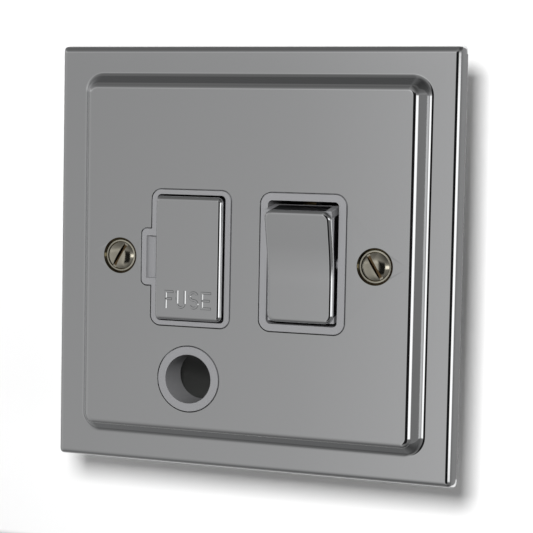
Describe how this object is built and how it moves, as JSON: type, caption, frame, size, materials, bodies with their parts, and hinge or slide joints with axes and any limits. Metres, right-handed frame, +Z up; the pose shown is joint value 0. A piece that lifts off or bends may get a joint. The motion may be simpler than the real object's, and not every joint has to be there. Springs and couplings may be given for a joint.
{
  "type": "switched fused connection unit",
  "caption": "Square stepped metal wall plate with a rocker switch, a pull-out fuse drawer and a round flex outlet, with its contact module behind.",
  "frame": {"origin": "on the wall's face, midway between the two fixing screws", "axes": "-Y out of the wall towards the room, +Y into the wall box, +Z up, +X to the right seen from the room"},
  "size_m": [0.0952, 0.0374, 0.0952],
  "materials": {
    "polished_metal": "mirror polished",
    "light_moulding": "light grey, satin gloss",
    "dark_moulding": "dark grey, moulded",
    "nickel_plate": "nickel plated, slightly warm",
    "zinc_plate": "zinc plated",
    "spring_steel": "drawn wire",
    "brass": "bare, stamped or machined",
    "contact_silver": "silver alloy",
    "white_nylon": "natural nylon",
    "ceramic": "unglazed ceramic"
  },
  "bodies": {
    "housing": {"front_plate": "polished_metal", "plate_studs": "brass", "stud_nuts": "brass", "fixing_screws": "nickel_plate", "front_moulding": "light_moulding", "rear_moulding": "dark_moulding", "rear_screws": "zinc_plate", "live_link": "brass", "neutral_link": "brass", "load_link": "brass", "supply_strips": "brass", "fixed_tips": "contact_silver", "fuse_clips": "brass", "supply_terminals": "brass", "load_terminals": "brass", "earth_terminals": "brass", "terminal_screws": "zinc_plate", "earth_strap": "brass", "cord_clamp": "white_nylon", "cord_clamp_screws": "zinc_plate"},
    "rocker": {"rocker_face": "polished_metal", "rocker_body": "light_moulding", "plungers": "white_nylon", "plunger_springs": "spring_steel"},
    "live_pole": {"live_seesaw": "brass", "live_moving_tip": "contact_silver"},
    "neutral_pole": {"neutral_seesaw": "brass", "neutral_moving_tip": "contact_silver"},
    "fuse_drawer": {"fuse_carrier_body": "light_moulding", "fuse_carrier_face": "polished_metal", "fuse_barrel": "ceramic", "fuse_caps": "nickel_plate"}
  },
  "joints": [
    {"name": "rocker_tilt", "type": "hinge", "parent": "housing", "child": "rocker", "pos_m": [0.01365, -0.0044, 0], "axis": [1, 0, 0], "range_deg": [-14, 0]},
    {"name": "live_contact_tilt", "type": "hinge", "parent": "housing", "child": "live_pole", "pos_m": [0.00965, 0.00838, 0], "axis": [1, 0, 0], "range_deg": [0, 10]},
    {"name": "neutral_contact_tilt", "type": "hinge", "parent": "housing", "child": "neutral_pole", "pos_m": [0.01765, 0.00838, 0], "axis": [1, 0, 0], "range_deg": [0, 10]},
    {"name": "fuse_drawer_slide", "type": "slide", "parent": "housing", "child": "fuse_drawer", "axis": [0, -1, 0], "range_m": [0, 0.014]}
  ],
  "couplings": [
    {"joint": "live_contact_tilt", "follows": "rocker_tilt", "ratio": -0.71429},
    {"joint": "neutral_contact_tilt", "follows": "rocker_tilt", "ratio": -0.71429}
  ]
}
